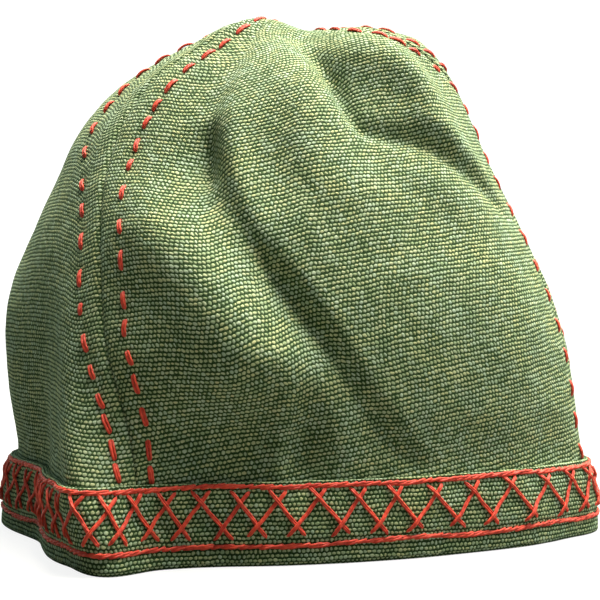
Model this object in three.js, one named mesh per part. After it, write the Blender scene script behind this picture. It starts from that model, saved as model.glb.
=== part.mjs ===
import * as THREE from 'three';

// A hand-sewn cloth cap, standing on its rim as it does by itself.
// Four triangular panels of coarse cloth are sewn edge to edge and meet at the top.
// Their lower edges are tucked inside a doubled brow band, which is the rim.
// Lengths are millimetres, +Z is up, the rim stands on z = 0 and the origin is the
// middle of its footprint. The wearer's brow side, with the sharp fold that storage
// has pressed into the band, faces -Y.

// Driving dimensions
const PANEL_THICKNESS = 1.8;
const BAND_THICKNESS = 2.4;
const SEWING_GAP = 0.3;
const BAND_TOP = 0.12;
const PANEL_FOOT = 0.02;
const PANEL_TIP = 0.996;
const FACET_WIDTH = 6.2;
const FEWEST_FACETS = 2;
const ROWS_ABOVE_BAND = 25;
const CROWN_AXIS = new THREE.Vector2(-2.1, -2.26);

// How many spots along a row are measured to space its facets evenly
const ROW_SPOTS = 160;
// A fold is laid down as soft round dabs, this many widths apart
const DAB_SPACING = 0.45;

// Level sections of the crown's outer face. "up" runs from the rim (0) to the tip (1),
// "height" is above the floor, the leans shift a section's middle off the crown's axis,
// and the rest are radii towards ten sides, front being -Y and left -X.
const SECTIONS = table(
  'up height leanX leanY left leftFront corner cornerFront front frontRight right backRight back backLeft', [
    [0.00, 0.0, 0, 0, 96, 82, 88, 70, 64, 69, 98, 92, 84, 91],
    [0.06, 12.0, 0, 0, 95.5, 82, 88, 70, 64, 69, 98, 92, 84, 91],
    [0.12, 24.0, 0, 0, 93, 82, 87.5, 70, 63, 68, 96, 90, 82, 90],
    [0.24, 46.0, 0, 0, 96, 84, 84, 71, 65, 69.5, 95, 91, 83, 92],
    [0.36, 70.0, 0, 0, 95, 84, 80, 71, 64.5, 68.5, 91, 87, 80, 90],
    [0.48, 94.0, 0, 1, 89, 80, 73.5, 65.5, 62, 65, 81, 80, 74, 84],
    [0.58, 115.0, 0, 2, 80, 73, 63, 56, 56.5, 58.5, 71, 71, 65, 75],
    [0.68, 134.0, 0, 4, 71, 64, 54, 48, 50, 51, 63, 61, 54, 64],
    [0.77, 150.0, 1, 7, 58, 52, 44, 38, 40, 44, 55, 50, 41, 51],
    [0.85, 161.0, 3, 10, 41, 38.5, 33, 28, 28, 38, 46, 38, 29, 37],
    [0.93, 166.0, 5, 13, 26, 23.5, 19.5, 17, 15, 28, 33, 22, 15, 21],
    [1.00, 167.0, 5, 15, 0, 0, 0, 0, 0, 0, 0, 0, 0, 0],
  ]);

// The ten sides in degrees of turn, counted from +X towards +Y
const SIDES = {
  left: -185, leftFront: -160, corner: -128, cornerFront: -108, front: -88,
  frontRight: -45, right: 0, backRight: 45, back: 90, backLeft: 135,
};

// Where the four seams run, in degrees of turn at each level
const SEAMS = table('up frontLeft frontRight backRight backLeft', [
  [0.00, -121, -3, 80, 160],
  [0.12, -121, -3, 80, 160],
  [0.24, -124.7, -3.5, 80, 160],
  [0.36, -131.2, -5, 80, 160],
  [0.48, -137, -6, 80, 158],
  [0.58, -144.5, -3, 80, 156],
  [0.68, -148, -2.5, 80, 154],
  [0.77, -146, -8, 80, 152],
  [0.85, -138, -38, 80, 150],
  [1.00, -132, -75, 80, 148],
]);

// The long crease that storage has pressed across the front: turn and up along it
const LONG_CREASE = [
  [-112, 0.628], [-106, 0.555], [-99.5, 0.492], [-94, 0.447], [-88.5, 0.415], [-84, 0.380],
  [-79, 0.342], [-73.5, 0.297], [-67.5, 0.248], [-61, 0.200], [-55, 0.158], [-50, 0.135],
];

// Folds and dents: the half width, then turn, up and height at points along each one
const FOLDS = [
  ['corner', 8, [-124, -0.10, 9], [-124.5, 0.02, 9], [-127.5, 0.09, 9], [-129, 0.13, 7.5], [-134, 0.21, 4],
    [-139, 0.30, 2], [-144, 0.42, 0]],
  ['right corner', 11, [-6, -0.10, 4], [-6, 0.06, 4], [-8, 0.16, 3], [-9, 0.34, 0]],
  ['long ridge', 13, [-140, 0.58, 0], [-128, 0.52, 4], [-119, 0.465, 6.5], [-112, 0.42, 7.5], [-106, 0.37, 7.5],
    [-101, 0.325, 6], [-97, 0.28, 3], [-94, 0.23, 0]],
  ['long valley', 6, ...beside(LONG_CREASE, -2.6, -0.012,
    [0, -0.2, -0.7, -1.6, -2.4, -2.6, -2.2, -1.2, -0.8, -1, -0.6, 0])],
  ['long crease far side', 9, ...beside(LONG_CREASE, 6.5, 0.030,
    [0, 0, 0.3, 0.8, 1, 1, 0.8, 0.4, 0.2, 0.2, 0, 0])],
  ['low bulge', 13, [-130, 0.33, 0], [-118, 0.31, 2.5], [-104, 0.30, 3.5], [-90, 0.30, 3], [-78, 0.29, 0.5]],
  ['tuck', 10, [-128, 0.19, 0], [-118, 0.19, -1], [-104, 0.19, -1.5], [-90, 0.19, -1.5], [-76, 0.19, -0.5]],
  ['peak', 8, [-150, 0.86, 1.5], [-132, 0.89, 4.5], [-114, 0.92, 4], [-97, 0.93, 1]],
  ['top ridge', 8, [-110, 0.87, 1], [-106, 0.80, 2], [-105, 0.74, 2.5], [-105, 0.66, 2.2],
    [-106, 0.58, 0.8]],
  ['upper ridge', 6, [-109.5, 0.68, 0.5], [-107, 0.62, 1.6], [-104, 0.56, 2.2], [-100, 0.51, 1.5],
    [-97, 0.47, 0.5]],
  ['top valley', 7, [-94, 0.90, -1.5], [-84, 0.85, -3], [-76.5, 0.80, -3.5], [-70, 0.765, -3.2],
    [-66, 0.72, -1.8], [-62, 0.69, -0.6]],
  ['top far side', 9, [-54, 0.83, 2], [-45, 0.80, 4], [-39, 0.765, 5.5], [-35, 0.715, 5.5],
    [-31, 0.67, 3.5], [-21, 0.615, 1.2]],
  ['top bulge', 7, [-40, 0.85, 0.5], [-28, 0.82, 0.5], [-18, 0.77, 0]],
  ['crease', 3.2, [-59, 0.66, -0.8], [-50, 0.645, -1.8], [-40, 0.635, -2], [-30, 0.605, -1.8],
    [-17, 0.55, -1.4], [-12, 0.50, 0]],
  ['crease lip', 4, [-54, 0.665, 0], [-42, 0.68, 0.8], [-32, 0.655, 1.2], [-24, 0.625, 1.2], [-16, 0.58, 1],
    [-10, 0.54, 0]],
  ['front dent', 14, [-70, 0.64, -1], [-60, 0.61, -2], [-46, 0.59, -2.2], [-34, 0.56, -1]],
  ['under crease', 7, [-52, 0.60, 0], [-38, 0.57, 1.5], [-26, 0.51, 0]],
  ['pleat', 4, [-88, 0.29, 0], [-91, 0.22, 1.8], [-92, 0.12, 1.6]],
  ['pleat hollow', 4, [-84, 0.27, 0], [-85, 0.20, -1.8], [-85, 0.12, -1.4]],
  ['pleat side', 6, [-75, 0.24, 0], [-75, 0.19, 1], [-74, 0.12, 1.4]],
  ['dimple', 4.5, [-117, 0.64, -0.5], [-116, 0.60, -2], [-113, 0.56, -1.5], [-109, 0.52, -0.5]],
  ['left hollow', 12, [-165, 0.10, -1], [-160, 0.17, -2], [-155, 0.30, -1.5], [-153, 0.42, 0]],
  ['left fold', 10, [160, 0.58, 0], [172, 0.46, 2.2], [184, 0.34, 2], [190, 0.24, 0]],
  ['right fold', 9, [6, 0.52, 0], [16, 0.42, 2.5], [24, 0.30, 3], [30, 0.18, 1.5]],
  ['right hollow', 10, [26, 0.60, 0], [34, 0.48, -3], [42, 0.34, -3], [48, 0.22, 0]],
  ['back fold', 10, [50, 0.62, 0], [62, 0.50, 4], [84, 0.36, 4.5], [104, 0.24, 2], [112, 0.16, 0]],
  ['back hollow', 8, [70, 0.60, 0], [84, 0.48, -3.5], [102, 0.36, -3.5], [118, 0.26, -1]],
  ['back dent', 11, [130, 0.80, -1], [122, 0.70, -4], [118, 0.58, -2.5], [118, 0.50, 0]],
];

// Names each column of a table and keeps its rows as plain records of numbers
function table(names, rows) {
  const keys = names.split(' ');
  return rows.map((row) => Object.fromEntries(row.map((value, column) => [keys[column], value])));
}

// A line of points moved aside, with a height at each
function beside(line, turn, up, heights) {
  return line.map((point, i) => [point[0] + turn, point[1] + up, heights[i]]);
}

// A smooth curve through values given at rising places, straight on beyond both ends
function curveThrough(places, values) {
  const last = places.length - 1;
  const steps = places.slice(1).map((place, i) => place - places[i]);
  const rises = steps.map((step, i) => (values[i + 1] - values[i]) / step);
  const slopes = values.map((_, i) => {
    if (i === 0 || i === last) return rises[Math.min(i, last - 1)];
    return (rises[i - 1] * steps[i] + rises[i] * steps[i - 1]) / (steps[i - 1] + steps[i]);
  });
  return (place) => {
    if (place <= places[0]) return values[0] + slopes[0] * (place - places[0]);
    if (place >= places[last]) return values[last] + slopes[last] * (place - places[last]);
    const i = places.findIndex((next) => next > place) - 1;
    const t = (place - places[i]) / steps[i];
    const bend = t * (1 - t) * steps[i];
    const blend = t * t * (3 - 2 * t);
    return values[i] + (values[i + 1] - values[i]) * blend
      + bend * (slopes[i] * (1 - t) - slopes[i + 1] * t);
  };
}

// One curve for each column of a table, read by how far up the cap
function columnCurves(rows) {
  const places = rows.map((row) => row.up);
  const columns = Object.keys(rows[0]).filter((key) => key !== 'up');
  return Object.fromEntries(columns.map((key) => [key, curveThrough(places, rows.map((row) => row[key]))]));
}

const section = columnCurves(SECTIONS);
const seam = columnCurves(SEAMS);

// The outline at one level: the radius of the smooth crown at any turn
function outlineAt(up) {
  const turns = [];
  const radii = [];
  for (const lap of [-360, 0, 360]) {
    for (const [side, turn] of Object.entries(SIDES)) {
      turns.push(turn + lap);
      radii.push(section[side](up));
    }
  }
  const radius = curveThrough(turns, radii);
  const middle = new THREE.Vector3(
    CROWN_AXIS.x + section.leanX(up), CROWN_AXIS.y + section.leanY(up), section.height(up));
  return { radius, middle };
}

const outlines = new Map();
function outline(up) {
  if (!outlines.has(up)) outlines.set(up, outlineAt(up));
  return outlines.get(up);
}

function nearTurn(turn) {
  return THREE.MathUtils.euclideanModulo(turn + 180, 360) - 180;
}

// A point of the smooth crown, before any fold
function smoothPoint(turn, up) {
  const { radius, middle } = outline(up);
  const reach = radius(nearTurn(turn));
  const angle = THREE.MathUtils.degToRad(turn);
  return new THREE.Vector3(Math.cos(angle) * reach, Math.sin(angle) * reach, 0).add(middle);
}

// Out of the cloth; level as high as the band reaches, so that the band stands upright
function outward(turn, up) {
  const aside = 0.5;
  const along = 0.004;
  const level = Math.min(up, 1 - 2 * along);
  const round = smoothPoint(turn + aside, level).sub(smoothPoint(turn - aside, level));
  const rise = smoothPoint(turn, level + along).sub(smoothPoint(turn, level - along));
  const out = round.cross(rise).normalize();
  out.z *= THREE.MathUtils.clamp(up / BAND_TOP - 1, 0, 1);
  return out.normalize();
}

// Each fold is a row of round dabs along its path, which add up to a soft ridge
function foldDabs([, width, ...points]) {
  const order = points.map((_, i) => i);
  const [turnAt, upAt, heightAt] = [0, 1, 2].map((k) => curveThrough(order, points.map((p) => p[k])));
  const spots = 60;
  const path = Array.from({ length: spots }, (_, i) => {
    const t = (i / (spots - 1)) * (points.length - 1);
    return { at: smoothPoint(turnAt(t), upAt(t)), height: heightAt(t) };
  });
  const lengths = [0];
  for (let i = 1; i < spots; i++) lengths.push(lengths[i - 1] + path[i].at.distanceTo(path[i - 1].at));
  const total = lengths[spots - 1];
  const count = Math.ceil(total / (width * DAB_SPACING)) + 1;
  const step = total / count;
  return Array.from({ length: count }, (_, k) => {
    const along = (k + 0.5) * step;
    const i = Math.min(lengths.findIndex((length) => length >= along), spots - 1);
    const t = (along - lengths[i - 1]) / (lengths[i] - lengths[i - 1]);
    const at = path[i - 1].at.clone().lerp(path[i].at, t);
    const height = THREE.MathUtils.lerp(path[i - 1].height, path[i].height, t);
    return { at, width, strength: (height * step) / (width * Math.sqrt(Math.PI)) };
  });
}

const dabs = FOLDS.flatMap(foldDabs);

function foldHeight(point) {
  return dabs.reduce(
    (sum, dab) => sum + dab.strength * Math.exp(-point.distanceToSquared(dab.at) / dab.width ** 2), 0);
}

// A point of the cloth, this far out of the crown's outer face
function clothPoint(turn, up, out = 0) {
  const point = smoothPoint(turn, up);
  const height = foldHeight(point) + out;
  return point.addScaledVector(outward(turn, up), height);
}

// One row of a panel between its two seams: turns, and the length of cloth up to each
function rowLine(from, to, up) {
  const { radius } = outline(up);
  const edgeTurn = (turn) => THREE.MathUtils.radToDeg(SEWING_GAP / 2 / radius(nearTurn(turn)));
  const start = seam[from](up) + edgeTurn(seam[from](up));
  let end = seam[to](up) - edgeTurn(seam[to](up));
  if (end < start) end += 360;
  const turns = [start];
  const lengths = [0];
  let before = clothPoint(start, up);
  for (let i = 1; i <= ROW_SPOTS; i++) {
    turns.push(THREE.MathUtils.lerp(start, end, i / ROW_SPOTS));
    const point = clothPoint(turns[i], up);
    lengths.push(lengths[i - 1] + point.distanceTo(before));
    before = point;
  }
  return { turns, lengths, total: lengths[ROW_SPOTS] };
}

// The turns of a row's corners, evenly spaced along the cloth. Rows in the lap all have
// as many as the band's top row, so that the band's facets lie level with the panels'.
function rowTurns(from, to, up) {
  const { turns, lengths, total } = rowLine(from, to, up);
  const countedLength = rowLine(from, to, Math.max(up, BAND_TOP)).total;
  const count = Math.max(FEWEST_FACETS, Math.round(countedLength / FACET_WIDTH));
  const turnAt = curveThrough(lengths, turns);
  return Array.from({ length: count + 1 }, (_, i) => turnAt((total * i) / count));
}

// A closed wall between two faces given as rows of points, lowest row first.
// A ring's rows close on themselves; an open wall gets two side edges.
function wallGeometry(outerRows, innerRows, isRing) {
  const positions = [];
  const index = [];
  const number = (rows) => rows.map((row) => {
    const ids = row.map((point) => positions.push(point.x, point.y, point.z) / 3 - 1);
    return isRing ? [...ids, ids[0]] : ids;
  });
  // Facets between two lines of points, facing (direction of the lines) x (first to second),
  // or the other way when turned over
  const strip = (first, second, turnedOver = false) => {
    const facet = (a, b, c) => index.push(...(turnedOver ? [a, c, b] : [a, b, c]));
    let i = 0;
    let j = 0;
    while (i < first.length - 1 || j < second.length - 1) {
      const nextFirst = (i + 1) / (first.length - 1);
      const nextSecond = (j + 1) / (second.length - 1);
      if (nextFirst <= nextSecond) {
        facet(first[i], first[i + 1], second[j]);
        i += 1;
      } else {
        facet(first[i], second[j + 1], second[j]);
        j += 1;
      }
    }
  };
  const outer = number(outerRows);
  const inner = number(innerRows);
  const top = outer.length - 1;
  for (let k = 0; k < top; k++) {
    strip(outer[k], outer[k + 1]);
    strip(inner[k], inner[k + 1], true);
  }
  strip(inner[0], outer[0]);
  strip(outer[top], inner[top]);
  if (!isRing) {
    strip(outer.map((row) => row[0]), inner.map((row) => row[0]));
    strip(inner.map((row) => row.at(-1)), outer.map((row) => row.at(-1)));
  }
  const geometry = new THREE.BufferGeometry();
  geometry.setAttribute('position', new THREE.Float32BufferAttribute(positions, 3));
  geometry.setIndex(index);
  geometry.computeVertexNormals();
  return geometry;
}

const PANELS = [
  { name: 'crown_panel_front', from: 'frontLeft', to: 'frontRight' },
  { name: 'crown_panel_right', from: 'frontRight', to: 'backRight' },
  { name: 'crown_panel_back', from: 'backRight', to: 'backLeft' },
  { name: 'crown_panel_left', from: 'backLeft', to: 'frontLeft' },
];

// The levels of the rows: three in the lap under the band, then even steps to the tip
const LAP_MIDDLE = 0.07;
const TIP_START = 0.968;
const TIP_MIDDLE = 0.985;
const lapLevels = [PANEL_FOOT, LAP_MIDDLE, BAND_TOP];
const crownLevels = Array.from({ length: ROWS_ABOVE_BAND }, (_, i) =>
  THREE.MathUtils.lerp(BAND_TOP, TIP_START, (i + 1) / ROWS_ABOVE_BAND));
const panelLevels = [...lapLevels, ...crownLevels, TIP_MIDDLE, PANEL_TIP];

// One triangular panel between two seams
function crownPanel({ from, to }) {
  const rows = (out) => panelLevels.map((up) => rowTurns(from, to, up).map((turn) => clothPoint(turn, up, out)));
  return wallGeometry(rows(0), rows(-PANEL_THICKNESS), false);
}

// The doubled band round the panels' lower edges, facet for facet outside them
function browBand() {
  const rows = (out) => [0, ...lapLevels].map((up) =>
    PANELS.flatMap(({ from, to }) => rowTurns(from, to, up).map((turn) => clothPoint(turn, up, out))));
  return wallGeometry(rows(SEWING_GAP + BAND_THICKNESS), rows(SEWING_GAP), true);
}

// Coarse plain weave of pale green and near-black green threads
const clothMaterial = new THREE.MeshStandardMaterial({ color: 0x6f9457, roughness: 0.92, metalness: 0 });
const bandMaterial = new THREE.MeshStandardMaterial({ color: 0x5f8a4c, roughness: 0.92, metalness: 0 });

function piece(name, geometry, material) {
  const mesh = new THREE.Mesh(geometry, material.clone());
  mesh.name = name;
  return mesh;
}

const cap = new THREE.Group();
cap.name = 'cap';
for (const panel of PANELS) cap.add(piece(panel.name, crownPanel(panel), clothMaterial));
cap.add(piece('brow_band', browBand(), bandMaterial));

export default cap;
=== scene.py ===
import math

import bpy
import numpy as np
from mathutils import Matrix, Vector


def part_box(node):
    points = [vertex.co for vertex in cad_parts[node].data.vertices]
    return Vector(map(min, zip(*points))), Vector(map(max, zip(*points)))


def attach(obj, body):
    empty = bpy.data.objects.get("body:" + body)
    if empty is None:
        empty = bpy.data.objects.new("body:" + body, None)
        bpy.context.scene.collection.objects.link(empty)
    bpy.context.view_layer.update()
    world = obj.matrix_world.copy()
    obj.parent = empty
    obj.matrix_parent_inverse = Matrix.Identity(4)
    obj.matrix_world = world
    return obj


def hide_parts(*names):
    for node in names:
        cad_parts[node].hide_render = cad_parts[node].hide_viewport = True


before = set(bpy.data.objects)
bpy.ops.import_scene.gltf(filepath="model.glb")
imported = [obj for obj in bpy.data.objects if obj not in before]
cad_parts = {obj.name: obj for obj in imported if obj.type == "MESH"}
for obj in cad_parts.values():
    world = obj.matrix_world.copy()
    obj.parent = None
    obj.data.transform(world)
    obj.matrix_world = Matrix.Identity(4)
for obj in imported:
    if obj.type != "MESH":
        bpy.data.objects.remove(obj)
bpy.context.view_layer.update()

# Crown panels: the form of the cloth
# Four triangular panels of coarse cloth are sewn edge to edge and meet at the tip, so together
# they are one soft crown. Level sections give its form, and folds from storage lie on top of it.
MM = 0.001
BAND_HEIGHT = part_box("brow_band")[1].z / MM
PANEL_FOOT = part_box("crown_panel_front")[0].z / MM
CROWN_AXIS = np.array([-2.1, -2.26])
BAND_TOP = 0.12
TIP = 0.9992
# Millimetres of height to a whole up, from the rim to the top of the band
HEIGHT_PER_UP = 200


def table(names, rows):
    """The columns of a table, by name."""
    return dict(zip(names.split(), np.array(rows, float).T))


SIDES = {
    "left": -185, "leftFront": -160, "corner": -128, "cornerFront": -108, "front": -88,
    "frontRight": -45, "right": 0, "backRight": 45, "back": 90, "backLeft": 135,
}
SECTIONS = table("up height leanX leanY " + " ".join(SIDES), [
    [0.00, 0.0, 0, 0, 96, 82, 88, 70, 64, 69, 98, 92, 84, 91],
    [0.06, 12.0, 0, 0, 95.5, 82, 88, 70, 64, 69, 98, 92, 84, 91],
    [0.12, 24.0, 0, 0, 93, 82, 87.5, 70, 63, 68, 96, 90, 82, 90],
    [0.24, 46.0, 0, 0, 96, 84, 84, 71, 65, 69.5, 95, 91, 83, 92],
    [0.36, 70.0, 0, 0, 95, 84, 80, 71, 64.5, 68.5, 91, 87, 80, 90],
    [0.48, 94.0, 0, 1, 89, 80, 73.5, 65.5, 62, 65, 81, 80, 74, 84],
    [0.58, 115.0, 0, 2, 80, 73, 63, 56, 56.5, 58.5, 71, 71, 65, 75],
    [0.68, 134.0, 0, 4, 71, 64, 54, 48, 50, 51, 63, 61, 54, 64],
    [0.77, 150.0, 1, 7, 58, 52, 44, 38, 40, 44, 55, 50, 41, 51],
    [0.85, 161.0, 3, 10, 41, 38.5, 33, 28, 28, 38, 46, 38, 29, 37],
    [0.93, 166.0, 5, 13, 26, 23.5, 19.5, 17, 15, 28, 33, 22, 15, 21],
    [1.00, 167.0, 5, 15, 0, 0, 0, 0, 0, 0, 0, 0, 0, 0],
])
SEAMS = table("up frontLeft frontRight backRight backLeft", [
    [0.00, -121, -3, 80, 160],
    [0.12, -121, -3, 80, 160],
    [0.24, -124.7, -3.5, 80, 160],
    [0.36, -131.2, -5, 80, 160],
    [0.48, -137, -6, 80, 158],
    [0.58, -144.5, -3, 80, 156],
    [0.68, -148, -2.5, 80, 154],
    [0.77, -146, -8, 80, 152],
    [0.85, -138, -38, 80, 150],
    [1.00, -132, -75, 80, 148],
])
# The long crease that storage has pressed across the front: turn and up along it
LONG_CREASE = [
    [-112, 0.628], [-106, 0.555], [-99.5, 0.492], [-94, 0.447], [-88.5, 0.415], [-84, 0.380],
    [-79, 0.342], [-73.5, 0.297], [-67.5, 0.248], [-61, 0.200], [-55, 0.158], [-50, 0.135],
]


def beside(line, turn, up, heights):
    """A line of points moved aside, with a height at each."""
    return [[point[0] + turn, point[1] + up, height] for point, height in zip(line, heights)]


# Each fold has its half width, then turn, up and height at points along it
FOLDS = {
    "corner": (8, [-124, -0.10, 9], [-124.5, 0.02, 9], [-127.5, 0.09, 9], [-129, 0.13, 7.5],
               [-134, 0.21, 4], [-139, 0.30, 2], [-144, 0.42, 0]),
    "right corner": (11, [-6, -0.10, 4], [-6, 0.06, 4], [-8, 0.16, 3], [-9, 0.34, 0]),
    "long ridge": (13, [-140, 0.58, 0], [-128, 0.52, 4], [-119, 0.465, 6.5], [-112, 0.42, 7.5],
                   [-106, 0.37, 7.5], [-101, 0.325, 6], [-97, 0.28, 3], [-94, 0.23, 0]),
    "long valley": (6, *beside(LONG_CREASE, -2.6, -0.012,
                               [0, -0.2, -0.7, -1.6, -2.4, -2.6, -2.2, -1.2, -0.8, -1, -0.6, 0])),
    "long crease far side": (9, *beside(LONG_CREASE, 6.5, 0.030,
                                        [0, 0, 0.3, 0.8, 1, 1, 0.8, 0.4, 0.2, 0.2, 0, 0])),
    "low bulge": (13, [-130, 0.33, 0], [-118, 0.31, 2.5], [-104, 0.30, 3.5], [-90, 0.30, 3],
                  [-78, 0.29, 0.5]),
    "tuck": (10, [-128, 0.19, 0], [-118, 0.19, -1], [-104, 0.19, -1.5], [-90, 0.19, -1.5],
             [-76, 0.19, -0.5]),
    "peak": (8, [-150, 0.86, 1.5], [-132, 0.89, 4.5], [-114, 0.92, 4], [-97, 0.93, 1]),
    "top ridge": (8, [-110, 0.87, 1], [-106, 0.80, 2], [-105, 0.74, 2.5], [-105, 0.66, 2.2],
                  [-106, 0.58, 0.8]),
    "upper ridge": (6, [-109.5, 0.68, 0.5], [-107, 0.62, 1.6], [-104, 0.56, 2.2], [-100, 0.51, 1.5],
                    [-97, 0.47, 0.5]),
    "top valley": (7, [-94, 0.90, -1.5], [-84, 0.85, -3], [-76.5, 0.80, -3.5], [-70, 0.765, -3.2],
                   [-66, 0.72, -1.8], [-62, 0.69, -0.6]),
    "top far side": (9, [-54, 0.83, 2], [-45, 0.80, 4], [-39, 0.765, 5.5], [-35, 0.715, 5.5],
                     [-31, 0.67, 3.5], [-21, 0.615, 1.2]),
    "top bulge": (7, [-40, 0.85, 0.5], [-28, 0.82, 0.5], [-18, 0.77, 0]),
    "crease": (3.2, [-59, 0.66, -0.8], [-50, 0.645, -1.8], [-40, 0.635, -2], [-30, 0.605, -1.8],
               [-17, 0.55, -1.4], [-12, 0.50, 0]),
    "crease lip": (4, [-54, 0.665, 0], [-42, 0.68, 0.8], [-32, 0.655, 1.2], [-24, 0.625, 1.2],
                   [-16, 0.58, 1], [-10, 0.54, 0]),
    "front dent": (14, [-70, 0.64, -1], [-60, 0.61, -2], [-46, 0.59, -2.2], [-34, 0.56, -1]),
    "under crease": (7, [-52, 0.60, 0], [-38, 0.57, 1.5], [-26, 0.51, 0]),
    "pleat": (4, [-88, 0.29, 0], [-91, 0.22, 1.8], [-92, 0.12, 1.6]),
    "pleat hollow": (4, [-84, 0.27, 0], [-85, 0.20, -1.8], [-85, 0.12, -1.4]),
    "pleat side": (6, [-75, 0.24, 0], [-75, 0.19, 1], [-74, 0.12, 1.4]),
    "dimple": (4.5, [-117, 0.64, -0.5], [-116, 0.60, -2], [-113, 0.56, -1.5], [-109, 0.52, -0.5]),
    "left hollow": (12, [-165, 0.10, -1], [-160, 0.17, -2], [-155, 0.30, -1.5], [-153, 0.42, 0]),
    "left fold": (10, [160, 0.58, 0], [172, 0.46, 2.2], [184, 0.34, 2], [190, 0.24, 0]),
    "right fold": (9, [6, 0.52, 0], [16, 0.42, 2.5], [24, 0.30, 3], [30, 0.18, 1.5]),
    "right hollow": (10, [26, 0.60, 0], [34, 0.48, -3], [42, 0.34, -3], [48, 0.22, 0]),
    "back fold": (10, [50, 0.62, 0], [62, 0.50, 4], [84, 0.36, 4.5], [104, 0.24, 2], [112, 0.16, 0]),
    "back hollow": (8, [70, 0.60, 0], [84, 0.48, -3.5], [102, 0.36, -3.5], [118, 0.26, -1]),
    "back dent": (11, [130, 0.80, -1], [122, 0.70, -4], [118, 0.58, -2.5], [118, 0.50, 0]),
}
# Creases too sharp for the solids' facets
FINE_CREASES = {
    "long crease edge": (2.7, *beside(LONG_CREASE, -1.2, -0.006,
                                      [0, -0.3, -0.8, -1.4, -1.8, -1.8, -1.4, -1.1, -1, -1, -0.8, -0.3])),
    "long crease lip": (4, *beside(LONG_CREASE, 2.2, 0.011,
                                   [0, 0, 0.2, 0.6, 1, 1, 0.9, 0.7, 0.5, 0.5, 0.3, 0])),
    "top crease": (3.2, [-84, 0.83, -0.5], [-77, 0.80, -1.8], [-71.5, 0.765, -2.4],
                   [-68, 0.725, -2.6], [-65.5, 0.69, -2.6], [-62, 0.66, -2], [-56, 0.65, -1]),
    "wedge swell": (8, [-66, 0.80, 1.2], [-58, 0.79, 2.5], [-49, 0.775, 2.6], [-41, 0.75, 1.4],
                    [-33, 0.72, 0.3]),
    "wedge hollow": (8, [-76, 0.79, -0.8], [-70, 0.745, -2.2], [-66, 0.70, -2.5], [-60, 0.665, -2.2],
                     [-51, 0.645, -1.5], [-42, 0.635, -0.8]),
    "wedge ease": (9, [-78, 0.67, -0.8], [-71, 0.635, -1.6], [-62, 0.61, -1.5], [-53, 0.60, -0.8]),
    "front ease": (16, [-80, 0.515, -0.6], [-68, 0.505, -1.8], [-56, 0.495, -2.2], [-44, 0.49, -2],
                   [-32, 0.48, -0.8]),
    "strip ridge": (5, [-112, 0.74, 0.5], [-110.5, 0.70, 1], [-109.5, 0.655, 1.3], [-108, 0.60, 1.5],
                    [-105.5, 0.55, 1.2], [-103, 0.51, 0.4]),
    "strip hollow": (6.5, [-92, 0.71, -0.5], [-92, 0.66, -1], [-92, 0.61, -1.3], [-91, 0.56, -1.1],
                     [-90, 0.52, -0.4]),
    "dimple groove": (2.3, [-115.6, 0.65, -0.4], [-114.8, 0.625, -2], [-113.2, 0.58, -2],
                      [-111.5, 0.55, -0.4]),
    "low swell": (10, [-124, 0.30, 0.6], [-110, 0.29, 1.3], [-96, 0.29, 1.3], [-84, 0.29, 0.3]),
    "low hollow": (9, [-126, 0.20, -0.8], [-114, 0.19, -1.6], [-102, 0.19, -1.8], [-92, 0.19, -1.2]),
}


def slopes_through(places, values):
    """The slope at each place of a smooth curve, from the rises on both sides of it."""
    steps = np.diff(places)
    rises = np.diff(values, axis=-1) / steps
    inner = (rises[..., :-1] * steps[1:] + rises[..., 1:] * steps[:-1]) / (steps[:-1] + steps[1:])
    return np.concatenate([rises[..., :1], inner, rises[..., -1:]], axis=-1)


def pick(values, i):
    """One value from each row, where there is a row for each point, or from the one row."""
    if values.ndim == 1:
        return values[i]
    return np.take_along_axis(values, i[..., None], -1)[..., 0]


def curve_through(places, values, at):
    """A smooth curve through values at rising places, read at any places, straight on past its ends."""
    places = np.asarray(places, float)
    values = np.asarray(values, float)
    slopes = slopes_through(places, values)
    inside = np.clip(at, places[0], places[-1])
    i = np.clip(np.searchsorted(places, inside, side="right") - 1, 0, len(places) - 2)
    step = np.diff(places)[i]
    t = (inside - places[i]) / step
    low, high = pick(values, i), pick(values, i + 1)
    low_slope, high_slope = pick(slopes, i), pick(slopes, i + 1)
    bend = t * (1 - t) * step
    beyond = (at - inside) * np.where(at < inside, low_slope, high_slope)
    return low + (high - low) * t * t * (3 - 2 * t) + bend * (low_slope * (1 - t) - high_slope * t) + beyond


def smooth_point(turn, up):
    """A point of the crown before any fold."""
    turn, up = np.broadcast_arrays(np.asarray(turn, float), np.asarray(up, float))
    read = {name: curve_through(SECTIONS["up"], SECTIONS[name], up) for name in SECTIONS if name != "up"}
    around = np.concatenate([np.array(list(SIDES.values())) + lap for lap in (-360, 0, 360)])
    radii = np.stack([read[side] for side in SIDES] * 3, axis=-1)
    radius = curve_through(around, radii, (turn + 180) % 360 - 180)
    angle = np.radians(turn)
    return np.stack([
        CROWN_AXIS[0] + read["leanX"] + radius * np.cos(angle),
        CROWN_AXIS[1] + read["leanY"] + radius * np.sin(angle),
        read["height"],
    ], axis=-1)


def lengths_along(line):
    """The length along a line of points, at each of its points."""
    return np.concatenate([[0], np.cumsum(np.linalg.norm(np.diff(line, axis=0), axis=1))])


def unit(vectors):
    """The vectors at a length of 1."""
    return vectors / np.maximum(np.linalg.norm(vectors, axis=-1, keepdims=True), 1e-9)


def outward(turn, up):
    """Out of the smooth crown; level as high as the band reaches, so that the band stands upright."""
    aside = 0.5
    along = 0.004
    level = np.minimum(up, 1 - 2 * along)
    across = smooth_point(turn + aside, level) - smooth_point(turn - aside, level)
    rise = smooth_point(turn, level + along) - smooth_point(turn, level - along)
    out = unit(np.cross(across, rise))
    out[..., 2] *= np.clip(up / BAND_TOP - 1, 0, 1)
    return unit(out)


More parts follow.
